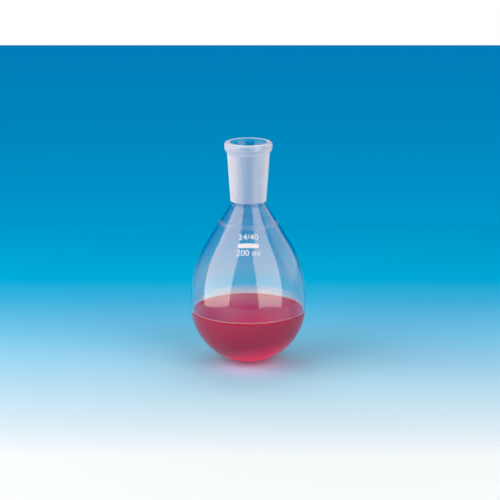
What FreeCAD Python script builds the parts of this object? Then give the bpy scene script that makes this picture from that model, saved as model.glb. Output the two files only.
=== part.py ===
"""Recovery flask: a pear-shaped glass bulb with a tapered ground socket, part filled with liquid.

The glass is one blown piece. Its outside and its hollow are two turned outlines, and the wall is
what lies between them. The liquid is the part of the hollow under its surface, so it always meets
the glass. Millimetres, +Z up, with the origin under the bulb's lowest point.
"""
import FreeCAD, Part
import math
import os

import Sketcher

V = FreeCAD.Vector
START, END, CENTRE = range(1, 4)            # the points of a sketched line or arc
ORIGIN, Z_AXIS = range(-1, -3, -1)          # a sketch's own axes: radius across, height up

SIZES = {
    # The pear-shaped bulb, outside
    "ball_radius": 40.0,        # round bottom
    "ball_sweep": 85.5,         # degrees of the round bottom, from its pole
    "side_radius": 82.0,        # flatter arc of the sides
    "shoulder_angle": 31.7,     # degrees between the straight shoulder and the axis
    "bulb_wall": 1.5,
    # The ground socket, which takes a standard cone
    "mouth_bore": 24.0,         # at the top of the ground length
    "socket_length": 40.0,
    "socket_taper": 0.1,        # bore lost for each millimetre of length
    "plain_bore": 1.9,          # unground bore below the socket
    "throat_round": 3.0,        # where the shoulder meets that bore
    "lip_round": 0.7,           # inner edge of the mouth, above the ground length
    # The neck and its bead, outside
    "root_wall": 2.1,           # glass round the small end of the socket
    "neck_wall": 2.6,           # glass under the bead, on top of the bore at the mouth
    "root_round": 1.5,          # hollow curve where the shoulder meets the neck
    "bead_out": 1.8,            # how far the bead stands out of the neck
    "bead_height": 7.4,
    "bead_widest": 3.3,         # below the mouth plane
    "bead_round": 1.0,          # hollow curve under the bead
    "rim_round": 1.7,           # outer edge of the mouth
    # The ring left where the neck was fused to the bulb
    "seam_below_neck": 13.2,    # along the shoulder
    "seam_width": 3.0,
    "seam_curve": 11.5,
    # The liquid
    "liquid_level": 36.6,
    "meniscus_curve": 1.2,
    "contact_angle": 40.0,      # degrees at which the liquid's surface meets the glass
}
MARGIN = 5.0                    # how far the hollow's outline runs out of the mouth
NEAR = 1e-6                     # how closely a ring edge has to match the radius asked for

BORE_FOOT = "(sizes.mouth_bore - sizes.socket_length * sizes.socket_taper) / 2"
NECK_TOP = "sizes.mouth_bore / 2 + sizes.neck_wall"


def new_profile(name):
    """A body with an empty sketch on its upright XZ plane."""
    body = doc.addObject("PartDesign::Body", name)
    sketch = body.newObject("Sketcher::SketchObject", name + "_outline")
    plane = [item for item in body.Origin.OriginFeatures if item.Role == "XZ_Plane"][0]
    sketch.AttachmentSupport = [(plane, "")]
    sketch.MapMode = "FlatFace"
    return body, sketch


def line(sketch, start, end):
    """A straight piece of outline, from one (radius, height) to another."""
    return sketch.addGeometry(Part.LineSegment(V(*start, 0), V(*end, 0)), False)


def arc(sketch, centre, radius, start, end):
    """A round piece of outline, anticlockwise between two angles in degrees."""
    circle = Part.Circle(V(*centre, 0), V(0, 0, 1), radius)
    ends = math.radians(start), math.radians(end)
    return sketch.addGeometry(Part.ArcOfCircle(circle, *ends), False)


def fix(sketch, kind, *args):
    """A constraint with no size of its own."""
    sketch.addConstraint(Sketcher.Constraint(kind, *args))


def size(sketch, name, expression, kind, *args):
    """A constraint whose value, given here as a first guess, is bound to the sheet."""
    index = sketch.addConstraint(Sketcher.Constraint(kind, *args))
    sketch.renameConstraint(index, name)
    sketch.setExpression("Constraints." + name, expression)


def close(sketch, pieces):
    """Joins an outline's pieces, each (piece, first end, last end, its joint with the next)."""
    for (piece, _, last, joint), (following, first, _, _) in zip(pieces, pieces[1:] + pieces[:1]):
        fix(sketch, joint, piece, last, following, first)


def turn(body, sketch, name):
    """Turns a body's outline once round the upright axis."""
    revolution = body.newObject("PartDesign::Revolution", name)
    revolution.Profile = sketch
    revolution.ReferenceAxis = (sketch, ["V_Axis"])
    revolution.Angle = 360.0
    doc.recompute()
    return revolution


def round_ring(body, base, name, radius, alias):
    """Rounds the lowest ring edge of a given radius on a turned body."""
    rings = []
    for number, edge in enumerate(base.Shape.Edges, start=1):
        if edge.Degenerated or not isinstance(edge.Curve, Part.Circle):
            continue
        if abs(edge.Curve.Radius - radius) < NEAR:
            rings.append((edge.Curve.Center.z, "Edge%d" % number))
    fillet = body.newObject("PartDesign::Fillet", name)
    fillet.Base = (base, [min(rings)[1]])
    fillet.setExpression("Radius", "sizes." + alias)
    doc.recompute()
    return fillet


def pear(sketch, wall):
    """Round bottom and side arc of the bulb, set in from the outside by a wall.

    The arcs keep the outside's centres, so the wall is even. The last value is where the side ends.
    """
    ball, side = SIZES["ball_radius"], SIZES["side_radius"]
    join, slope = SIZES["ball_sweep"] - 90.0, SIZES["shoulder_angle"]
    reach = side - ball
    centre = (-reach * math.cos(math.radians(join)), ball - reach * math.sin(math.radians(join)))
    end = (centre[0] + (side - wall) * math.cos(math.radians(slope)),
           centre[1] + (side - wall) * math.sin(math.radians(slope)))
    bottom_arc = arc(sketch, (0, ball), ball - wall, -90.0, join)
    side_arc = arc(sketch, centre, side - wall, join, slope)
    fix(sketch, "PointOnObject", bottom_arc, CENTRE, Z_AXIS)
    fix(sketch, "PointOnObject", bottom_arc, START, Z_AXIS)
    return bottom_arc, side_arc, end


def size_pear(sketch, bottom_arc, side_arc, shoulder, inset, wall):
    """Sizes the bulb's arcs and the slope of its shoulder; inset is the wall as an expression."""
    ball, side = SIZES["ball_radius"], SIZES["side_radius"]
    size(sketch, "ball_height", "sizes.ball_radius",
         "DistanceY", ORIGIN, START, bottom_arc, CENTRE, ball)
    size(sketch, "ball_radius", "sizes.ball_radius" + inset, "Radius", bottom_arc, ball - wall)
    size(sketch, "ball_sweep", "sizes.ball_sweep",
         "Angle", bottom_arc, math.radians(SIZES["ball_sweep"]))
    size(sketch, "side_radius", "sizes.side_radius" + inset, "Radius", side_arc, side - wall)
    size(sketch, "shoulder_angle", "90 + sizes.shoulder_angle",
         "Angle", shoulder, math.radians(90.0 + SIZES["shoulder_angle"]))


def make_hollow():
    """The hollow: bulb, plain bore, ground socket and the rounded inner edge of the mouth."""
    wall, lip = SIZES["bulb_wall"], SIZES["lip_round"]
    slope = math.radians(SIZES["shoulder_angle"])
    taper = math.atan(SIZES["socket_taper"] / 2)
    bore = (SIZES["mouth_bore"] - SIZES["socket_length"] * SIZES["socket_taper"]) / 2
    body, sketch = new_profile("hollow")
    bottom, side, side_end = pear(sketch, wall)
    foot = (bore, side_end[1] + (side_end[0] - bore) / math.tan(slope))
    socket_foot = (bore, foot[1] + SIZES["plain_bore"])
    socket_top = (SIZES["mouth_bore"] / 2, socket_foot[1] + SIZES["socket_length"])
    lip_centre = (socket_top[0] + lip * math.cos(taper), socket_top[1] - lip * math.sin(taper))
    out, mouth = lip_centre[0], lip_centre[1] + lip
    shoulder = line(sketch, side_end, foot)
    plain = line(sketch, foot, socket_foot)
    socket = line(sketch, socket_foot, socket_top)
    edge = arc(sketch, lip_centre, lip, 90.0, 180.0 - math.degrees(taper))
    riser = line(sketch, (out, mouth), (out, mouth + MARGIN))
    lid = line(sketch, (out, mouth + MARGIN), (0, mouth + MARGIN))
    axis = line(sketch, (0, mouth + MARGIN), (0, wall))
    close(sketch, [(bottom, START, END, "Tangent"), (side, START, END, "Tangent"),
                   (shoulder, START, END, "Coincident"), (plain, START, END, "Coincident"),
                   (socket, START, END, "Tangent"), (edge, END, START, "Coincident"),
                   (riser, START, END, "Coincident"), (lid, START, END, "Coincident"),
                   (axis, START, END, "Coincident")])
    size_pear(sketch, bottom, side, shoulder, " - sizes.bulb_wall", wall)
    fix(sketch, "Vertical", plain)
    size(sketch, "bore_foot", BORE_FOOT, "DistanceX", ORIGIN, START, plain, START, bore)
    size(sketch, "plain_bore", "sizes.plain_bore", "DistanceY", plain, START, plain, END,
         SIZES["plain_bore"])
    size(sketch, "taper", "90 deg - atan(sizes.socket_taper / 2)",
         "Angle", socket, math.radians(90.0) - taper)
    size(sketch, "socket_length", "sizes.socket_length",
         "DistanceY", socket, START, socket, END, SIZES["socket_length"])
    size(sketch, "lip_round", "sizes.lip_round", "Radius", edge, lip)
    fix(sketch, "Vertical", edge, CENTRE, edge, START)
    fix(sketch, "Vertical", riser)
    fix(sketch, "DistanceY", riser, START, riser, END, MARGIN)
    fix(sketch, "Horizontal", lid)
    fix(sketch, "PointOnObject", lid, END, Z_AXIS)
    mouth_height = sketch.addConstraint(
        Sketcher.Constraint("DistanceY", ORIGIN, START, edge, START, mouth))
    sketch.setDriving(mouth_height, False)
    sketch.renameConstraint(mouth_height, "mouth_height")
    revolution = turn(body, sketch, "hollow_turned")
    round_ring(body, revolution, "throat", bore, "throat_round")
    return body, mouth


def make_outside(mouth):
    """The outside: bulb, shoulder with its fused ring, flared neck and rounded bead."""
    slope = math.radians(SIZES["shoulder_angle"])
    root = ((SIZES["mouth_bore"] - SIZES["socket_length"] * SIZES["socket_taper"]) / 2
            + SIZES["root_wall"])
    neck_top = SIZES["mouth_bore"] / 2 + SIZES["neck_wall"]
    bead = neck_top + SIZES["bead_out"]
    rim, seam = SIZES["rim_round"], SIZES["seam_curve"]
    widest = mouth - SIZES["bead_widest"]
    body, sketch = new_profile("outside")
    bottom, side, side_end = pear(sketch, 0.0)
    corner = (root, side_end[1] + (side_end[0] - root) / math.tan(slope))

    def down_shoulder(distance, height=0.0):
        """A point on the shoulder, or above it, at a distance below the neck."""
        return (corner[0] + distance * math.sin(slope) + height * math.cos(slope),
                corner[1] - distance * math.cos(slope) + height * math.sin(slope))

    seam_top = down_shoulder(SIZES["seam_below_neck"])
    seam_foot = down_shoulder(SIZES["seam_below_neck"] + SIZES["seam_width"])
    half = math.asin(SIZES["seam_width"] / 2 / seam)
    seam_centre = down_shoulder(SIZES["seam_below_neck"] + SIZES["seam_width"] / 2,
                                -seam * math.cos(half))
    rise = widest - (mouth - SIZES["bead_height"])
    bulge = (rise ** 2 + SIZES["bead_out"] ** 2) / (2 * SIZES["bead_out"])
    lower = line(sketch, side_end, seam_foot)
    ring = arc(sketch, seam_centre, seam, SIZES["shoulder_angle"] - math.degrees(half),
               SIZES["shoulder_angle"] + math.degrees(half))
    upper = line(sketch, seam_top, corner)
    neck = line(sketch, corner, (neck_top, mouth - SIZES["bead_height"]))
    swell = arc(sketch, (bead - bulge, widest), bulge, -math.degrees(math.asin(rise / bulge)), 0.0)
    band = line(sketch, (bead, widest), (bead, mouth - rim))
    turn_in = arc(sketch, (bead - rim, mouth - rim), rim, 0.0, 90.0)
    land = line(sketch, (bead - rim, mouth), (0, mouth))
    axis = line(sketch, (0, mouth), (0, 0))
    close(sketch, [(bottom, START, END, "Tangent"), (side, START, END, "Tangent"),
                   (lower, START, END, "Coincident"), (ring, START, END, "Coincident"),
                   (upper, START, END, "Coincident"), (neck, START, END, "Coincident"),
                   (swell, START, END, "Tangent"), (band, START, END, "Tangent"),
                   (turn_in, START, END, "Tangent"), (land, START, END, "Coincident"),
                   (axis, START, END, "Coincident")])
    size_pear(sketch, bottom, side, lower, "", 0.0)
    fix(sketch, "PointOnObject", upper, START, lower)
    fix(sketch, "PointOnObject", upper, END, lower)
    size(sketch, "seam_curve", "sizes.seam_curve", "Radius", ring, seam)
    size(sketch, "seam_width", "sizes.seam_width",
         "Distance", ring, START, ring, END, SIZES["seam_width"])
    size(sketch, "seam_below_neck", "sizes.seam_below_neck",
         "Distance", upper, START, upper, END, SIZES["seam_below_neck"])
    size(sketch, "root_radius", BORE_FOOT + " + sizes.root_wall",
         "DistanceX", ORIGIN, START, neck, START, root)
    size(sketch, "neck_top", NECK_TOP, "DistanceX", ORIGIN, START, neck, END, neck_top)
    size(sketch, "bead_height", "sizes.bead_height",
         "DistanceY", neck, END, land, START, SIZES["bead_height"])
    size(sketch, "bead_radius", NECK_TOP + " + sizes.bead_out",
         "DistanceX", ORIGIN, START, band, START, bead)
    size(sketch, "bead_widest", "sizes.bead_widest",
         "DistanceY", band, START, land, START, SIZES["bead_widest"])
    size(sketch, "rim_round", "sizes.rim_round", "Radius", turn_in, rim)
    fix(sketch, "Vertical", band)
    fix(sketch, "Horizontal", land)
    fix(sketch, "PointOnObject", land, END, Z_AXIS)
    size(sketch, "mouth_height", "hollow_outline.Constraints.mouth_height",
         "DistanceY", ORIGIN, START, land, START, mouth)
    revolution = turn(body, sketch, "outside_turned")
    rounded = round_ring(body, revolution, "neck_root", root, "root_round")
    round_ring(body, rounded, "under_bead", neck_top, "bead_round")
    return body


def make_fill():
    """All that lies below the liquid's surface, which curls up in a meniscus at the glass.

    The curl is drawn as a whole quarter round, so that it always runs out through the glass.
    """
    level, curl, reach = SIZES["liquid_level"], SIZES["meniscus_curve"], SIZES["side_radius"]
    inside = SIZES["ball_radius"] - SIZES["bulb_wall"]
    calm = (math.sqrt(inside ** 2 - (SIZES["ball_radius"] - level) ** 2)
            - curl * math.cos(math.radians(SIZES["contact_angle"])))
    body, sketch = new_profile("fill")
    base = line(sketch, (0, 0), (reach, 0))
    outer = line(sketch, (reach, 0), (reach, level + curl))
    shelf = line(sketch, (reach, level + curl), (calm + curl, level + curl))
    meniscus = arc(sketch, (calm, level + curl), curl, -90.0, 0.0)
    surface = line(sketch, (calm, level), (0, level))
    axis = line(sketch, (0, level), (0, 0))
    close(sketch, [(base, START, END, "Coincident"), (outer, START, END, "Coincident"),
                   (shelf, START, END, "Coincident"), (meniscus, END, START, "Tangent"),
                   (surface, START, END, "Coincident"), (axis, START, END, "Coincident")])
    fix(sketch, "Coincident", base, START, ORIGIN, START)
    fix(sketch, "Horizontal", base)
    fix(sketch, "Vertical", outer)
    fix(sketch, "Horizontal", shelf)
    fix(sketch, "Horizontal", surface)
    fix(sketch, "Vertical", axis)
    size(sketch, "reach", "sizes.side_radius", "DistanceX", base, START, base, END, reach)
    size(sketch, "level", "sizes.liquid_level", "DistanceY", ORIGIN, START, surface, START, level)
    size(sketch, "curl", "sizes.meniscus_curve", "Radius", meniscus, curl)
    fix(sketch, "Horizontal", meniscus, CENTRE, meniscus, END)
    size(sketch, "calm", "sqrt((sizes.ball_radius - sizes.bulb_wall) ^ 2"
         " - (sizes.ball_radius - sizes.liquid_level) ^ 2)"
         " - sizes.meniscus_curve * cos(sizes.contact_angle)",
         "DistanceX", ORIGIN, START, surface, START, calm)
    turn(body, sketch, "fill_turned")
    return body


doc = FreeCAD.newDocument("recovery_flask")
sheet = doc.addObject("Spreadsheet::Sheet", "sizes")
for row, (alias, value) in enumerate(SIZES.items(), start=1):
    sheet.set("A%d" % row, alias)
    sheet.set("B%d" % row, str(value))
    sheet.setAlias("B%d" % row, alias)
doc.recompute()

hollow, mouth_height = make_hollow()
outside = make_outside(mouth_height)
fill = make_fill()

flask = doc.addObject("Part::Cut", "flask")
flask.Label = "flask"
flask.Base = outside
flask.Tool = hollow

liquid = doc.addObject("Part::Common", "liquid")
liquid.Label = "liquid"
liquid.Base = hollow
liquid.Tool = fill
doc.recompute()

for item in doc.Objects:
    if "Invalid" in item.State or "Error" in item.State:
        raise RuntimeError("%s failed: %s" % (item.Label, item.State))

os.makedirs("parts", exist_ok=True)
for part in (flask, liquid):
    part.Placement = FreeCAD.Placement()
    shape = part.Shape
    if shape.isNull() or not shape.isValid() or len(shape.Solids) != 1:
        raise RuntimeError("%s has no valid solid" % part.Label)
    shape.exportStep("parts/%s.step" % part.Label)
    print("%s: %.1f mm3" % (part.Label, shape.Volume))
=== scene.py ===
"""Looks for a recovery flask: a pear-shaped glass bulb with a ground socket, part filled.

The glass and the liquid are turned again here from the same outlines as the solids, finely enough
for clear glass. Metres, +Z up, with the origin under the bulb's lowest point. The flask stands on
blue paper that grows pale towards the front, between tall soft boxes, with blue paper far behind.
"""

import math

import bpy
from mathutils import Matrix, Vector


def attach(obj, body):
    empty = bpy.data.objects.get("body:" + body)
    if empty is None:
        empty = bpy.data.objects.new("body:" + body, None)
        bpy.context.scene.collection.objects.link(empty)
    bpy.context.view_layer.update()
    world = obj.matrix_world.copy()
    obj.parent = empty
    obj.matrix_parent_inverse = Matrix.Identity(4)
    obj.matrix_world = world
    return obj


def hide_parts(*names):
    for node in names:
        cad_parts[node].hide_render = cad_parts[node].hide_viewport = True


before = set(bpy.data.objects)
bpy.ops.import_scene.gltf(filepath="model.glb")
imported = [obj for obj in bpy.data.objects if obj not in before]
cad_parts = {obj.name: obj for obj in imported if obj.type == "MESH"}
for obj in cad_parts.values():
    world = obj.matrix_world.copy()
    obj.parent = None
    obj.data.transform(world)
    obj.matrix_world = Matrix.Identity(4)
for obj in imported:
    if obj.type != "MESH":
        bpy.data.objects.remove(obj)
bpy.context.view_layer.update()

# The pear-shaped bulb, outside
BALL_RADIUS = 0.040
BALL_TOP = -4.5                     # degrees from the ball's centre to where the side arc starts
SIDE_RADIUS = 0.082
SHOULDER_ANGLE = 31.7               # degrees between the straight shoulder and the axis
BULB_WALL = 0.0015

# The ground socket inside the neck
MOUTH_BORE = 0.0120                 # radius at the top of the ground length
SOCKET_LENGTH = 0.040
CLEAR_ROOT = 0.0014                 # height above the root that is left clear outside
CLEAR_MOUTH = 0.0076                # length under the mouth that is left clear
SOCKET_TAPER = 0.05                 # radius lost for each metre of length
PLAIN_BORE = 0.0019                 # unground bore below the socket
THROAT_ROUND = 0.003
LIP_ROUND = 0.0007

# The neck and its bead, outside
ROOT_WALL = 0.0021
NECK_WALL = 0.0026
ROOT_ROUND = 0.0015
BEAD_OUT = 0.0018
BEAD_HEIGHT = 0.0074
BEAD_WIDEST = 0.0033                # below the mouth
BEAD_ROUND = 0.0010
RIM_ROUND = 0.0017

# The ring left where the neck was fused to the bulb
SEAM_BELOW_NECK = 0.0132
SEAM_WIDTH = 0.0030
SEAM_CURVE = 0.0115

# The liquid
LIQUID_LEVEL = 0.0366
MENISCUS_CURVE = 0.0012
CONTACT_ANGLE = 40.0                # degrees at which the liquid's surface meets the glass
CONTACT_HEIGHT = 0.0372             # where the liquid ends on the wall
WETTED = 0.0001                     # how far the liquid reaches into the glass, to leave no air

# The enamel marks on the front
MARK_THICKNESS = 0.00012
MARK_LIFT = 0.00002                 # clear of the glass
MARK_DISTANCE = 0.020               # in front of the bulb, before a mark is laid on it
JOINT_SIZE_HEIGHT = 0.0938
PANEL_HEIGHT = 0.0887
CAPACITY_HEIGHT = 0.0842
WORD_SIZE = 0.0060
PANEL_WIDTH = 0.0139
PANEL_TALL = 0.0032
PANEL_CORNER = PANEL_TALL / 6

# How finely the glass is turned
FACET = 0.0018
FINEST_TURN = 9.0                   # degrees
AROUND = 160
MERGE = 1e-6

# What the glass looks like
GLASS_INDEX = 1.473                 # refractive index
POLISHED = {"Base Color": (0.985, 0.995, 1.0), "Roughness": 0.0, "IOR": GLASS_INDEX,
            "Transmission Weight": 1.0}
NO_SHINE = (0.0, 0.0, 0.0)
SHINE_COLOURS = (                   # how high on the wall, and the colour of its shine there
    (0.0372, (0.10, 0.10, 0.10)),
    (0.046, (0.42, 0.56, 0.58)),
    (0.053, (0.72, 0.98, 1.00)),
    (0.060, (0.97, 0.86, 0.75)),
    (0.075, (1.0, 0.72, 0.52)),
)
GROUND_TINT = (0.78, 0.90, 1.0)
GROUND_CLEARNESS = 0.95
GROUND_ROUGHNESS = (0.42, 0.52)     # where the ground face is smoothest and roughest
SATIN_TINT = (0.88, 0.86, 0.89)
SATIN_ROUGHNESS = 0.25
SATIN_NECK = (0.90, 0.15, 0.55)     # clearness seen squarely and at the edge, and their balance
SATIN_BEAD = (0.80, 0.28, 0.50)
FUSED_SEAM = (0.95, 0.90, 0.50)

# Painted light on the wall above the liquid: a pale band at the back, a glint at the liquid's edge
# and a haze higher up, standing in for reflections
PAINTED_LIGHT_TINT = (0.97, 0.98, 1.0)
PAINTED_FULL_CLEARNESS = 0.15               # of the wall where the painted light is fullest
PAINTED_BAND_HEIGHT = 0.007                 # painted pale band above the liquid, at the back
PAINTED_GLINT_HEIGHT = 0.0009                   # a painted glint all round, just above the liquid
PAINTED_GLINT_TINT = (1.0, 0.60, 0.70)
PAINTED_HAZE_START = 0.048                  # how high on the wall the painted haze begins
PAINTED_HAZE_THICKEST = 0.057
PAINTED_HAZE_TOP = 0.079
PAINTED_HAZE_STRENGTH = 0.14

# What the liquid looks like
LIQUID_INDEX = 1.335
LIQUID_CLEARNESS = 0.45
LIQUID_COLOURS_AND_PAINTED_LIGHT = (                  # how high, and the colour there, with brighter red painted low down and at the surface, where light gathers and falls
    (0.0, (1.0, 0.0, 0.10)),
    (0.007, (1.0, 0.01, 0.12)),
    (0.012, (0.86, 0.065, 0.19)),
    (0.0355, (0.86, 0.065, 0.19)),
    (0.0364, (0.97, 0.0, 0.08)),
    (0.040, (0.97, 0.0, 0.08)),
)
DEPTH_COLOUR = (0.97, 0.20, 0.55)   # what the liquid leaves of light that goes through it
DEPTH_DENSITY = 60.0
LIGHT_WAY = (0.19, -0.24, -0.952)   # from the ball's centre to where a glow is painted, where light gathers in the liquid
LIGHT_SPAN = (0.70, 0.90)           # shares of the ball's radius that way, dark and brightest
PAINTED_GLOW_COLOUR = (1.0, 0.0, 0.09)
PAINTED_GLOW_STRENGTH = 0.32

# What the enamel looks like
ENAMEL_INDEX = 1.5
ENAMEL_ROUGHNESS = 0.4
ENAMEL_COLOURS = (                  # the unevenness, and the colour there
    (0.3, (0.50, 0.53, 0.57)),
    (0.6, (0.58, 0.60, 0.64)),
)

# The table and the backdrop
LEVEL = (0.0, 0.0, 0.0)
UPRIGHT = (math.pi / 2, 0.0, 0.0)
TABLE_SIDES = 0.235
TABLE_FRONT = -0.30
TABLE_BACK = 0.40
TABLE_COLOURS = (                   # how far behind the flask, and the colour there
    (-0.20, (0.68, 0.77, 0.80)),
    (-0.14, (0.51, 0.68, 0.77)),
    (-0.045, (0.33, 0.59, 0.75)),
    (0.05, (0.16, 0.51, 0.74)),
    (0.15, (0.04, 0.40, 0.67)),
    (0.21, (0.0, 0.37, 0.64)),
    (0.40, (0.0, 0.30, 0.58)),
)
PAINTED_POOL_PLACE = (0.0005, -0.016, 0.0)  # where a pool of the liquid's red light is painted, lightening the flask's shadow
PAINTED_POOL_REACH = 0.044
PAINTED_POOL_COLOUR = (0.50, 0.57, 0.88)
BACKDROP_PLACE = 3.0
BACKDROP_SIDES = 5.0
BACKDROP_FOOT = -3.0
BACKDROP_TOP = 4.0
BACKDROP_COLOURS = (                # how high, and the colour there
    (-0.64, (0.0, 0.31, 0.60)),
    (-0.41, (0.0, 0.23, 0.50)),
    (-0.20, (0.0, 0.20, 0.48)),
    (4.0, (0.01, 0.14, 0.52)),
)
PAPER_EDGE = -0.2465                # how high the blue paper reaches, with white above it
WHITE = (1.0, 1.0, 1.0)

# The lamps, the room and the camera
LAMP_AIM = 0.08                     # height that the lamps are turned to
LAMP_TINT = (1.0, 0.87, 0.77)
ROOM_COLOUR = (0.20, 0.50, 1.0)
ROOM_STRENGTH = 0.3
CAMERA_PLACE = (0.0011, -1.400, 0.4397)
CAMERA_DIP = 14.45                  # degrees that it looks down
LENS_LENGTH = 150.8                 # millimetres, as the sensor's width
SENSOR_WIDTH = 36.0
FARTHEST_SEEN = 50.0


# Outlines are lists of (radius, height) points, and angles are in degrees

def arc(centre, radius, start, end):
    """Points of a round stretch of outline, both ends included."""
    sweep = abs(end - start)
    steps = max(2, math.ceil(math.radians(sweep) * radius / FACET), math.ceil(sweep / FINEST_TURN))
    angles = [math.radians(start + (end - start) * step / steps) for step in range(steps + 1)]
    return [centre + radius * Vector((math.cos(angle), math.sin(angle))) for angle in angles]


def run(start, end):
    """Points of a straight stretch of outline, both ends included."""
    steps = max(2, math.ceil((end - start).length / FACET))
    return [start.lerp(end, step / steps) for step in range(steps + 1)]


def rounded(before, corner, after, radius):
    """Points of a round that takes the place of a corner between two straight stretches."""
    back, ahead = (before - corner).normalized(), (after - corner).normalized()
    half = back.angle(ahead) / 2
    middle = corner + (back + ahead).normalized() * radius / math.sin(half)
    first, last = (corner + way * radius / math.tan(half) - middle for way in (back, ahead))
    start = math.degrees(math.atan2(first.y, first.x))
    turn = math.degrees(first.angle_signed(last))
    return arc(middle, radius, start, start - turn)


def joined(*stretches):
    """One outline from stretches that follow each other, each shared point once."""
    points = []
    for stretch in stretches:
        points += [point for point in stretch if not points or (point - points[-1]).length > MERGE]
    return points


def pear(wall):
    """The bulb from its pole up to where the side ends, set in from the outside by a wall."""
    centre = Vector((0.0, BALL_RADIUS))
    reach = SIDE_RADIUS - BALL_RADIUS
    lean = math.radians(BALL_TOP)
    side_centre = centre - reach * Vector((math.cos(lean), math.sin(lean)))
    return joined(arc(centre, BALL_RADIUS - wall, -90.0, BALL_TOP),
                  arc(side_centre, SIDE_RADIUS - wall, BALL_TOP, SHOULDER_ANGLE))


def glass_outline():
    """The section of the glass, up the outside and down the hollow, and the heights on it."""
    slope = math.radians(SHOULDER_ANGLE)
    up_shoulder = Vector((-math.sin(slope), math.cos(slope)))
    out_of_shoulder = Vector((math.cos(slope), math.sin(slope)))
    bore_foot = MOUTH_BORE - SOCKET_LENGTH * SOCKET_TAPER

    # The hollow, from the bulb up
    hollow = pear(BULB_WALL)
    throat = hollow[-1] + up_shoulder * (hollow[-1].x - bore_foot) / math.sin(slope)
    socket_foot = throat + Vector((0.0, PLAIN_BORE))
    socket_top = Vector((MOUTH_BORE, socket_foot.y + SOCKET_LENGTH))
    taper = math.degrees(math.atan(SOCKET_TAPER))
    lip_centre = socket_top + LIP_ROUND * Vector((math.cos(math.radians(taper)),
                                                  -math.sin(math.radians(taper))))
    lip = arc(lip_centre, LIP_ROUND, 180.0 - taper, 90.0)
    mouth = lip[-1].y
    throat_round = rounded(hollow[-1], throat, socket_foot, THROAT_ROUND)
    inside = joined(hollow, run(hollow[-1], throat_round[0]), throat_round,
                    run(throat_round[-1], socket_foot), run(socket_foot, socket_top), lip)

    # The outside, from the bulb up
    bulb = pear(0.0)
    neck_root = bulb[-1] + up_shoulder * (bulb[-1].x - bore_foot - ROOT_WALL) / math.sin(slope)
    neck_top = Vector((MOUTH_BORE + NECK_WALL, mouth - BEAD_HEIGHT))
    seam_middle = neck_root - up_shoulder * (SEAM_BELOW_NECK + SEAM_WIDTH / 2)
    half_seam = math.asin(SEAM_WIDTH / 2 / SEAM_CURVE)
    seam_centre = seam_middle - out_of_shoulder * SEAM_CURVE * math.cos(half_seam)
    seam = arc(seam_centre, SEAM_CURVE, SHOULDER_ANGLE - math.degrees(half_seam),
               SHOULDER_ANGLE + math.degrees(half_seam))
    root_round = rounded(bulb[-1], neck_root, neck_top, ROOT_ROUND)
    rise = BEAD_HEIGHT - BEAD_WIDEST
    bulge = (rise ** 2 + BEAD_OUT ** 2) / (2 * BEAD_OUT)
    widest = Vector((neck_top.x + BEAD_OUT, mouth - BEAD_WIDEST))
    swell_start = -math.degrees(math.asin(rise / bulge))
    swell_way = Vector((-math.sin(math.radians(swell_start)), math.cos(math.radians(swell_start))))
    under_bead = rounded(neck_root, neck_top, neck_top + swell_way, BEAD_ROUND)
    swell = arc(widest - Vector((bulge, 0.0)), bulge, swell_start, 0.0)
    swell = [point for point in swell if point.x > under_bead[-1].x]
    rim_foot = Vector((widest.x, mouth - RIM_ROUND))
    rim = arc(rim_foot - Vector((RIM_ROUND, 0.0)), RIM_ROUND, 0.0, 90.0)
    outside = joined(bulb, run(bulb[-1], seam[0]), seam, run(seam[-1], root_round[0]), root_round,
                     run(root_round[-1], under_bead[0]), under_bead, swell, run(widest, rim_foot),
                     rim, run(rim[-1], lip[-1]))
    heights = {"neck root": neck_root.y, "neck top": neck_top.y, "socket foot": socket_foot.y,
               "socket top": socket_top.y, "seam foot": seam[0].y, "seam top": seam[-1].y}
    return joined(outside, inside[::-1]), heights


def liquid_outline():
    """The section of the liquid: up the wetted wall, down the meniscus and in along the surface."""
    centre = Vector((0.0, BALL_RADIUS))
    wetted_radius = BALL_RADIUS - BULB_WALL + WETTED
    level_radius = math.sqrt((BALL_RADIUS - BULB_WALL) ** 2 - (BALL_RADIUS - LIQUID_LEVEL) ** 2)
    calm = level_radius - MENISCUS_CURVE * math.cos(math.radians(CONTACT_ANGLE))
    curl_centre = Vector((calm, LIQUID_LEVEL + MENISCUS_CURVE))
    # Where the meniscus crosses the wetted wall, by the triangle of the two centres
    between = curl_centre - centre
    distance = between.length
    along = (wetted_radius ** 2 - MENISCUS_CURVE ** 2 + distance ** 2) / (2 * distance)
    across = math.sqrt(wetted_radius ** 2 - along ** 2)
    way = between / distance
    contact = centre + way * along + Vector((way.y, -way.x)) * across
    wall_end = math.degrees(math.atan2(contact.y - centre.y, contact.x - centre.x))
    curl_start = math.degrees(math.atan2(contact.y - curl_centre.y, contact.x - curl_centre.x))
    surface = run(Vector((calm, LIQUID_LEVEL)), Vector((0.0, LIQUID_LEVEL)))
    return joined(arc(centre, wetted_radius, -90.0, wall_end),
                  arc(curl_centre, MENISCUS_CURVE, curl_start, -90.0), surface)


def deselect():
    """Nothing is selected, in object mode."""
    if bpy.context.object and bpy.context.object.mode != "OBJECT":
        bpy.ops.object.mode_set(mode="OBJECT")
    bpy.ops.object.select_all(action="DESELECT")


def pick(piece):
    """Makes one piece the only one selected, and the active one."""
    deselect()
    piece.select_set(True)
    bpy.context.view_layer.objects.active = piece


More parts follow.
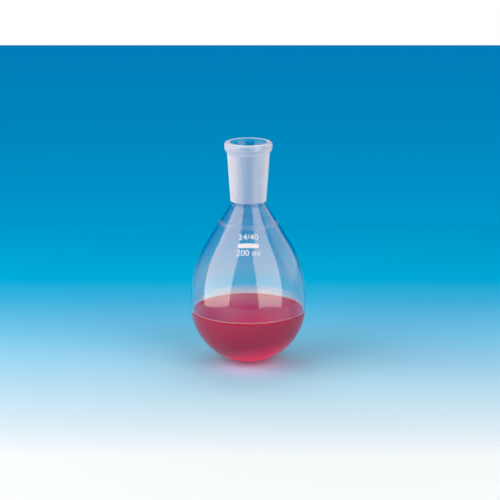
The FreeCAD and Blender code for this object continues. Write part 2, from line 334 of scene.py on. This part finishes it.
def turned(name, outline):
    """A closed piece made by turning an outline that runs from axis to axis once round."""
    mesh = bpy.data.meshes.new(name)
    chain = [(number, number + 1) for number in range(len(outline) - 1)]
    mesh.from_pydata([(point.x, 0.0, point.y) for point in outline], chain, [])
    piece = bpy.data.objects.new(name, mesh)
    bpy.context.scene.collection.objects.link(piece)
    pick(piece)
    bpy.ops.object.mode_set(mode="EDIT")
    bpy.ops.mesh.select_all(action="SELECT")
    bpy.ops.mesh.spin(steps=AROUND, angle=math.tau, center=(0.0, 0.0, 0.0), axis=(0.0, 0.0, 1.0))
    bpy.ops.mesh.select_all(action="SELECT")
    bpy.ops.mesh.remove_doubles(threshold=MERGE)
    bpy.ops.mesh.normals_make_consistent(inside=False)
    bpy.ops.object.mode_set(mode="OBJECT")
    bpy.ops.object.shade_smooth()
    return piece


def dress(piece, *materials):
    """Gives a piece its materials, the first all over."""
    piece.data.materials.clear()
    for material in materials:
        piece.data.materials.append(material)


# What the materials are put together from: each helper adds nodes or links to one of them

def feed(links, socket, value):
    """Sets a socket to a number or a colour, or links it to another socket that gives one."""
    if isinstance(value, bpy.types.NodeSocket):
        links.new(value, socket)
    elif isinstance(value, tuple):
        socket.default_value = (*value, 1.0)
    else:
        socket.default_value = value


def new_material(name, values):
    """A material whose Principled shader has some values of its own, and its nodes and links."""
    material = bpy.data.materials.new(name)
    material.use_nodes = True
    nodes, links = material.node_tree.nodes, material.node_tree.links
    shader = nodes["Principled BSDF"]
    for socket, value in values.items():
        feed(links, shader.inputs[socket], value)
    return material, nodes, links, shader


def object_place(nodes):
    """Where a point is on the object."""
    return nodes.new("ShaderNodeTexCoord").outputs["Object"]


def along_axis(nodes, links, axis):
    """How far along one axis of the object a point is."""
    split = nodes.new("ShaderNodeSeparateXYZ")
    links.new(object_place(nodes), split.inputs["Vector"])
    return split.outputs[axis]


def scaled(nodes, links, value, start, end, span=(0.0, 1.0), ease="LINEAR"):
    """A value that goes from start to end while another goes through its span."""
    scale = nodes.new("ShaderNodeMapRange")
    scale.interpolation_type = ease
    scale.inputs["From Min"].default_value, scale.inputs["From Max"].default_value = span
    scale.inputs["To Min"].default_value = start
    scale.inputs["To Max"].default_value = end
    links.new(value, scale.inputs["Value"])
    return scale.outputs["Result"]


def combined(nodes, links, operation, first, second):
    """What one value gives with another, kept between nought and one."""
    both = nodes.new("ShaderNodeMath")
    both.operation = operation
    both.use_clamp = True
    feed(links, both.inputs[0], first)
    feed(links, both.inputs[1], second)
    return both.outputs["Value"]


def against(nodes, links, operation, place, fixed):
    """A node that sets a place against a fixed one."""
    compared = nodes.new("ShaderNodeVectorMath")
    compared.operation = operation
    compared.inputs[1].default_value = fixed
    links.new(place, compared.inputs[0])
    return compared


def mixed_colour(nodes, links, share, first, second):
    """A colour that turns from the first to the second as the share grows to one."""
    mix = nodes.new("ShaderNodeMix")
    mix.data_type = "RGBA"
    links.new(share, mix.inputs["Factor"])
    feed(links, mix.inputs["A"], first)
    feed(links, mix.inputs["B"], second)
    return mix.outputs["Result"]


def mixed_shader(nodes, links, share, first, second):
    """A shader that turns from the first to the second as the share grows to one."""
    mix = nodes.new("ShaderNodeMixShader")
    links.new(share, mix.inputs["Fac"])
    links.new(first, mix.inputs[1])
    links.new(second, mix.inputs[2])
    return mix.outputs["Shader"]


def graded(nodes, links, value, colours):
    """A colour that changes with a value, through a few given ones."""
    first, last = colours[0][0], colours[-1][0]
    grade = nodes.new("ShaderNodeValToRGB")
    stops = grade.color_ramp.elements
    for number, (at, colour) in enumerate(colours):
        position = (at - first) / (last - first)
        stop = stops[number] if number < len(stops) else stops.new(position)
        stop.position = position
        stop.color = (*colour, 1.0)
    links.new(scaled(nodes, links, value, 0.0, 1.0, (first, last)), grade.inputs["Fac"])
    return grade.outputs["Color"]


def uneven(nodes, links, shader, scale, height, strength):
    """Makes a surface uneven by noise on the object's coordinates, and gives that noise."""
    noise = nodes.new("ShaderNodeTexNoise")
    noise.inputs["Scale"].default_value = scale
    links.new(object_place(nodes), noise.inputs["Vector"])
    bump = nodes.new("ShaderNodeBump")
    bump.inputs["Strength"].default_value = strength
    bump.inputs["Distance"].default_value = height
    links.new(noise.outputs["Fac"], bump.inputs["Height"])
    links.new(bump.outputs["Normal"], shader.inputs["Normal"])
    return noise.outputs["Fac"]


def clear_glass():
    """Polished borosilicate glass, with the faint waviness of blown glass."""
    material, nodes, links, shader = new_material("clear_glass", POLISHED)
    uneven(nodes, links, shader, scale=38.0, height=0.00003, strength=0.3)
    shine = graded(nodes, links, along_axis(nodes, links, "Z"), SHINE_COLOURS)
    links.new(shine, shader.inputs["Specular Tint"])
    return material


def wetted_glass():
    """Clear glass with no shine of its own, for the wetted wall and inside the mouth."""
    return new_material("wetted_wall", {**POLISHED, "Specular Tint": NO_SHINE})[0]


def ground_glass():
    """The ground face of the socket, finely pitted, which spreads the light that goes through."""
    material, nodes, links, shader = new_material("ground_socket", {
        "Base Color": GROUND_TINT, "IOR": GLASS_INDEX, "Transmission Weight": GROUND_CLEARNESS})
    pits = uneven(nodes, links, shader, scale=3500.0, height=0.00004, strength=0.35)
    links.new(scaled(nodes, links, pits, *GROUND_ROUGHNESS), shader.inputs["Roughness"])
    return material


def satin_glass(name, squarely, at_edge, balance):
    """Satin glass: clearer looked at squarely than at its edges, and clear from inside."""
    material, nodes, links, shader = new_material(name, {
        "Base Color": SATIN_TINT, "IOR": GLASS_INDEX})
    uneven(nodes, links, shader, scale=3500.0, height=0.00004, strength=0.2)
    slant = nodes.new("ShaderNodeLayerWeight")
    slant.inputs["Blend"].default_value = balance
    from_inside = nodes.new("ShaderNodeNewGeometry").outputs["Backfacing"]
    clearness = scaled(nodes, links, slant.outputs["Facing"], squarely, at_edge)
    clearness = combined(nodes, links, "MAXIMUM", clearness, from_inside)
    links.new(clearness, shader.inputs["Transmission Weight"])
    roughness = scaled(nodes, links, from_inside, SATIN_ROUGHNESS, 0.0)
    links.new(roughness, shader.inputs["Roughness"])
    return material


def painted_reflection_glass():
    """The wall above the liquid, with a pale band painted at the back, a painted glint at the
    liquid's edge and a painted haze higher up, all standing in for reflected light.
    """
    material, nodes, links, shader = new_material("painted_reflection_wall", {
        "Roughness": 0.0, "IOR": GLASS_INDEX})
    height = along_axis(nodes, links, "Z")
    # The pale band at the back, the glint at the liquid's edge and the haze above are painted
    # reflections.
    back = scaled(nodes, links, along_axis(nodes, links, "Y"), 0.0, 1.0, (0.0, BALL_RADIUS))
    low = scaled(nodes, links, height, 1.0, 0.0, (CONTACT_HEIGHT, CONTACT_HEIGHT + PAINTED_BAND_HEIGHT))
    edge = scaled(nodes, links, height, 1.0, 0.0, (CONTACT_HEIGHT, CONTACT_HEIGHT + PAINTED_GLINT_HEIGHT))
    painted_band = combined(nodes, links, "MAXIMUM", combined(nodes, links, "MULTIPLY", low, back), edge)
    growing = scaled(nodes, links, height, 0.0, 1.0, (PAINTED_HAZE_START, PAINTED_HAZE_THICKEST))
    fading = scaled(nodes, links, height, PAINTED_HAZE_STRENGTH, 0.0, (PAINTED_HAZE_THICKEST, PAINTED_HAZE_TOP))
    painted_haze = combined(nodes, links, "MULTIPLY", growing, fading)
    painted_share = combined(nodes, links, "MAXIMUM", painted_band, painted_haze)
    clearness = scaled(nodes, links, painted_share, 1.0, PAINTED_FULL_CLEARNESS)
    links.new(clearness, shader.inputs["Transmission Weight"])
    # The glint at the liquid's edge is painted pink.
    tint = mixed_colour(nodes, links, edge, PAINTED_LIGHT_TINT, PAINTED_GLINT_TINT)
    links.new(tint, shader.inputs["Base Color"])
    links.new(graded(nodes, links, height, SHINE_COLOURS), shader.inputs["Specular Tint"])
    return material


def white_enamel():
    """Fired white enamel, slightly uneven."""
    material, nodes, links, shader = new_material("white_enamel", {
        "Roughness": ENAMEL_ROUGHNESS, "IOR": ENAMEL_INDEX})
    unevenness = uneven(nodes, links, shader, scale=2500.0, height=0.00002, strength=0.3)
    links.new(graded(nodes, links, unevenness, ENAMEL_COLOURS), shader.inputs["Base Color"])
    return material


def red_liquid():
    """Milky red liquid that takes out green and blue with depth, with brighter red painted low down
    and at the surface, and a painted glow where light gathers.
    """
    material, nodes, links, shader = new_material("red_liquid", {
        "Roughness": 0.0, "IOR": LIQUID_INDEX, "Transmission Weight": LIQUID_CLEARNESS,
        "Emission Color": PAINTED_GLOW_COLOUR})
    # Painted light: the colour is a brighter red low down and at the surface.
    colour = graded(nodes, links, along_axis(nodes, links, "Z"), LIQUID_COLOURS_AND_PAINTED_LIGHT)
    links.new(colour, shader.inputs["Base Color"])
    # A painted glow: emission that stands in for the light that the ball gathers low in the liquid.
    outwards = against(nodes, links, "SUBTRACT", object_place(nodes), (0.0, 0.0, BALL_RADIUS))
    along = against(nodes, links, "DOT_PRODUCT", outwards.outputs["Vector"], LIGHT_WAY)
    span = tuple(share * BALL_RADIUS for share in LIGHT_SPAN)
    painted_glow = scaled(nodes, links, along.outputs["Value"], 0.0, PAINTED_GLOW_STRENGTH, span)
    links.new(painted_glow, shader.inputs["Emission Strength"])
    depth = nodes.new("ShaderNodeVolumeAbsorption")
    depth.inputs["Color"].default_value = (*DEPTH_COLOUR, 1.0)
    depth.inputs["Density"].default_value = DEPTH_DENSITY
    links.new(depth.outputs["Volume"], nodes["Material Output"].inputs["Volume"])
    return material


def wall_part(face, heights):
    """Which part of the glass a face belongs to."""
    middle = face.center
    inward = face.normal.x * middle.x + face.normal.y * middle.y < 0.0
    if inward and middle.z > heights["socket top"] - CLEAR_MOUTH:
        return "wetted"
    if inward and middle.z > heights["socket foot"]:
        return "ground"
    if not inward and middle.z > heights["neck root"] + CLEAR_ROOT:
        return "neck" if middle.z < heights["neck top"] else "bead"
    if not inward and heights["seam foot"] < middle.z < heights["seam top"]:
        return "seam"
    if middle.z < CONTACT_HEIGHT:
        within = math.hypot(middle.x, middle.y, middle.z - BALL_RADIUS)  # from the ball's centre
        return "wetted" if within < BALL_RADIUS - BULB_WALL / 2 else "clear"
    # Inside, above the liquid up to the top of the painted haze, the wall gets the painted
    # reflections.
    return "painted_reflections" if inward and middle.z < PAINTED_HAZE_TOP else "clear"


def make_glass():
    """The blown glass: a satin neck round the ground socket, and a clear bulb."""
    outline, heights = glass_outline()
    glass = turned("flask_glass", outline)
    finishes = {
        "clear": clear_glass(),
        "neck": satin_glass("satin_neck", *SATIN_NECK),
        "bead": satin_glass("satin_bead", *SATIN_BEAD),
        "ground": ground_glass(),
        "painted_reflections": painted_reflection_glass(),
        "wetted": wetted_glass(),
        "seam": satin_glass("fused_seam", *FUSED_SEAM),
    }
    dress(glass, *finishes.values())
    parts = list(finishes)
    for face in glass.data.polygons:
        face.material_index = parts.index(wall_part(face, heights))
    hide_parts("flask")
    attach(glass, "root")
    return glass


def make_liquid():
    """The liquid, with its meniscus, reaching just into the glass it wets."""
    liquid = turned("red_fill", liquid_outline())
    dress(liquid, red_liquid())
    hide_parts("liquid")
    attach(liquid, "root")


def print_place(height):
    """The place and turn of a mark held up in front of the bulb at a height."""
    slope = math.radians(SHOULDER_ANGLE)
    top = pear(0.0)[-1]
    if height > top.y:
        radius, lean = top.x - (height - top.y) * math.tan(slope), slope
    else:
        side_height = BALL_RADIUS - (SIDE_RADIUS - BALL_RADIUS) * math.sin(math.radians(BALL_TOP))
        lean = math.asin((height - side_height) / SIDE_RADIUS)
        radius = top.x + SIDE_RADIUS * (math.cos(lean) - math.cos(slope))
    place = Vector((0.0, -radius - MARK_DISTANCE * math.cos(lean),
                    height + MARK_DISTANCE * math.sin(lean)))
    return place, (math.pi / 2 - lean, 0.0, 0.0)


def lay_on_bulb(mark, glass):
    """Lays a flat mark, held up in front, on the glass, and gives it the thickness of enamel."""
    pick(mark)
    wrap = mark.modifiers.new("wrap", "SHRINKWRAP")
    wrap.target = glass
    wrap.wrap_method = "PROJECT"
    wrap.use_project_z = True
    wrap.use_negative_direction = True
    wrap.use_positive_direction = False
    wrap.offset = MARK_LIFT
    bpy.ops.object.modifier_apply(modifier=wrap.name)
    coat = mark.modifiers.new("coat", "SOLIDIFY")
    coat.thickness = MARK_THICKNESS
    coat.offset = 1.0
    bpy.ops.object.modifier_apply(modifier=coat.name)
    bpy.ops.object.transform_apply(location=True, rotation=True, scale=True)


def fire_on(mark, enamel, glass):
    """Turns a flat mark into a coat of enamel on the bulb."""
    lay_on_bulb(mark, glass)
    dress(mark, enamel)
    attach(mark, "root")


def print_words(name, words, height, enamel, glass):
    """A line of plain words and numbers in enamel on the front of the bulb."""
    place, turn = print_place(height)
    deselect()
    bpy.ops.object.text_add(location=place, rotation=turn)
    line = bpy.context.object
    line.name = name
    line.data.body = words
    line.data.size = WORD_SIZE
    line.data.align_x = "CENTER"
    line.data.align_y = "CENTER"
    pick(line)
    bpy.ops.object.convert(target="MESH")
    line = bpy.context.object
    bpy.ops.object.mode_set(mode="EDIT")
    bpy.ops.mesh.select_all(action="SELECT")
    bpy.ops.mesh.remove_doubles(threshold=MERGE)
    bpy.ops.mesh.subdivide(number_cuts=1)
    bpy.ops.object.mode_set(mode="OBJECT")
    fire_on(line, enamel, glass)


def print_panel(name, height, enamel, glass):
    """A plain enamel panel with rounded corners on the front of the bulb."""
    place, turn = print_place(height)
    deselect()
    bpy.ops.mesh.primitive_plane_add(size=1.0, location=place, rotation=turn)
    panel = bpy.context.object
    panel.name = name
    panel.dimensions = (PANEL_WIDTH, PANEL_TALL, 0.0)
    bpy.ops.object.mode_set(mode="EDIT")
    bpy.ops.mesh.select_all(action="SELECT")
    bpy.ops.mesh.bevel(offset=PANEL_CORNER, segments=3, affect="VERTICES")
    bpy.ops.mesh.select_all(action="SELECT")
    bpy.ops.mesh.quads_convert_to_tris()
    bpy.ops.mesh.subdivide(number_cuts=3)
    bpy.ops.object.mode_set(mode="OBJECT")
    fire_on(panel, enamel, glass)


def make_marks(glass):
    """The joint's size, a plain panel and the capacity, one below the other."""
    enamel = white_enamel()
    print_words("joint_size_mark", "24/40", JOINT_SIZE_HEIGHT, enamel, glass)
    print_panel("plain_panel_mark", PANEL_HEIGHT, enamel, glass)
    print_words("capacity_mark", "200 ml", CAPACITY_HEIGHT, enamel, glass)


def seen(nodes, links):
    """One for a look at a surface, also in or through glass, and nought for light it sends on."""
    path = nodes.new("ShaderNodeLightPath")
    looked_at = path.outputs["Is Camera Ray"]
    for kind in ("Is Glossy Ray", "Is Transmission Ray"):
        looked_at = combined(nodes, links, "MAXIMUM", looked_at, path.outputs[kind])
    return looked_at


def table_paper():
    """Matt paper on the table, pale in front and blue behind, with a painted pool of the liquid's red
    light under the flask.
    """
    material, nodes, links, shader = new_material("table_paper", {
        "Roughness": 1.0, "Specular IOR Level": 0.0})
    # A painted pool of pinkish light, lighter than the paper, round the flask's foot, where its
    # shadow falls.
    away = against(nodes, links, "DISTANCE", object_place(nodes), PAINTED_POOL_PLACE)
    glow = scaled(nodes, links, away.outputs["Value"], 1.0, 0.0, (0.0, PAINTED_POOL_REACH), "SMOOTHSTEP")
    paper = graded(nodes, links, along_axis(nodes, links, "Y"), TABLE_COLOURS)
    links.new(mixed_colour(nodes, links, glow, paper, PAINTED_POOL_COLOUR), shader.inputs["Base Color"])
    return material


def backdrop_paper():
    """Evenly lit paper far behind: blue, and white above where the camera looks past it."""
    material, nodes, links, shader = new_material("backdrop_paper", {
        "Roughness": 1.0, "Specular IOR Level": 0.0})
    height = along_axis(nodes, links, "Z")
    paper = graded(nodes, links, height, BACKDROP_COLOURS)
    above = combined(nodes, links, "GREATER_THAN", height, PAPER_EDGE)
    straight = nodes.new("ShaderNodeLightPath").outputs["Is Camera Ray"]
    past_paper = combined(nodes, links, "MULTIPLY", above, straight)
    colour = mixed_colour(nodes, links, past_paper, paper, WHITE)
    links.new(colour, shader.inputs["Base Color"])
    glow = nodes.new("ShaderNodeEmission")
    links.new(colour, glow.inputs["Color"])
    surface = mixed_shader(nodes, links, seen(nodes, links), shader.outputs["BSDF"],
                           glow.outputs["Emission"])
    links.new(surface, nodes["Material Output"].inputs["Surface"])
    return material


def stage_sheet(name, size, place, turn, material):
    """A flat sheet that isn't part of the object."""
    deselect()
    bpy.ops.mesh.primitive_plane_add(size=1.0, location=place, rotation=turn)
    sheet = bpy.context.object
    sheet.name = name
    sheet.dimensions = (*size, 0.0)
    bpy.ops.object.transform_apply(location=True, rotation=True, scale=True)
    dress(sheet, material)
    return sheet


def make_table():
    """The table that the flask stands on."""
    stage_sheet("table", (2 * TABLE_SIDES, TABLE_BACK - TABLE_FRONT),
                (0.0, (TABLE_BACK + TABLE_FRONT) / 2, 0.0), LEVEL, table_paper())


def make_backdrop():
    """The paper far behind the table."""
    stage_sheet("backdrop", (2 * BACKDROP_SIDES, BACKDROP_TOP - BACKDROP_FOOT),
                (0.0, BACKDROP_PLACE, (BACKDROP_TOP + BACKDROP_FOOT) / 2), UPRIGHT,
                backdrop_paper())


def lit_cloth(name, radiance):
    """The front of a soft box, which gives light and shine but isn't seen through glass."""
    material, nodes, links = new_material(name, {})[:3]
    path = nodes.new("ShaderNodeLightPath")
    given = combined(nodes, links, "SUBTRACT", 1.0, path.outputs["Is Transmission Ray"])
    for bounces in ("Diffuse Depth", "Glossy Depth"):
        given = combined(nodes, links, "ADD", given, path.outputs[bounces])
    light = nodes.new("ShaderNodeEmission")
    light.inputs["Color"].default_value = (*LAMP_TINT, 1.0)
    light.inputs["Strength"].default_value = radiance
    nothing = nodes.new("ShaderNodeBsdfTransparent").outputs["BSDF"]
    front = mixed_shader(nodes, links, given, nothing, light.outputs["Emission"])
    from_behind = nodes.new("ShaderNodeNewGeometry").outputs["Backfacing"]
    surface = mixed_shader(nodes, links, from_behind, front, nothing)
    links.new(surface, nodes["Material Output"].inputs["Surface"])
    return material


def lamp_place(side, distance, height):
    """Where a lamp stands, at an angle round from the camera's side, and the way to the flask."""
    angle = math.radians(side)
    place = Vector((distance * math.sin(angle), -distance * math.cos(angle), height))
    return place, Vector((0.0, 0.0, LAMP_AIM)) - place


def soft_box(name, side, distance, height, width, tall, radiance):
    """A large soft box beside the flask."""
    place, way = lamp_place(side, distance, height)
    cloth = stage_sheet(name, (width, tall), place, way.to_track_quat("Z", "Y").to_euler(),
                        lit_cloth(name, radiance))
    cloth.visible_camera = False


def top_lamp(name, side, distance, height, width, tall, radiance):
    """A soft lamp that stands higher than the flask."""
    place, way = lamp_place(side, distance, height)
    lamp = bpy.data.lights.new(name, "AREA")
    lamp.shape = "RECTANGLE"
    lamp.size = width
    lamp.size_y = tall
    lamp.color = LAMP_TINT
    lamp.energy = radiance * math.pi * width * tall
    box = bpy.data.objects.new(name, lamp)
    box.location = place
    box.rotation_euler = way.to_track_quat("-Z", "Y").to_euler()
    box.visible_camera = False
    bpy.context.scene.collection.objects.link(box)


def make_world():
    """A dim blue room."""
    world = bpy.data.worlds.new("room")
    bpy.context.scene.world = world
    world.use_nodes = True
    background = world.node_tree.nodes["Background"]
    background.inputs["Color"].default_value = (*ROOM_COLOUR, 1.0)
    background.inputs["Strength"].default_value = ROOM_STRENGTH


def make_camera():
    """The photograph's view: a long lens, a little above the mouth."""
    lens = bpy.data.cameras.new("camera")
    lens.lens = LENS_LENGTH
    lens.sensor_width = SENSOR_WIDTH
    lens.clip_end = FARTHEST_SEEN
    camera = bpy.data.objects.new("camera", lens)
    camera.location = CAMERA_PLACE
    camera.rotation_euler = (math.radians(90.0 - CAMERA_DIP), 0.0, 0.0)
    bpy.context.scene.collection.objects.link(camera)
    bpy.context.scene.camera = camera


# The flask
flask_glass = make_glass()
make_liquid()
make_marks(flask_glass)

# The stage round it
make_table()
make_backdrop()
soft_box("left_soft_box", side=-68.0, distance=0.85, height=0.36, width=1.15, tall=1.2, radiance=4.0)
soft_box("right_soft_box", side=45.0, distance=0.90, height=0.36, width=0.95, tall=1.2, radiance=3.7)
soft_box("side_soft_box", side=118.0, distance=0.90, height=0.50, width=0.90, tall=0.95, radiance=0.8)
top_lamp("back_lamp", side=180.0, distance=0.70, height=1.00, width=1.2, tall=0.75, radiance=2.3)
make_world()
make_camera()
bpy.context.scene.view_settings.view_transform = "Standard"
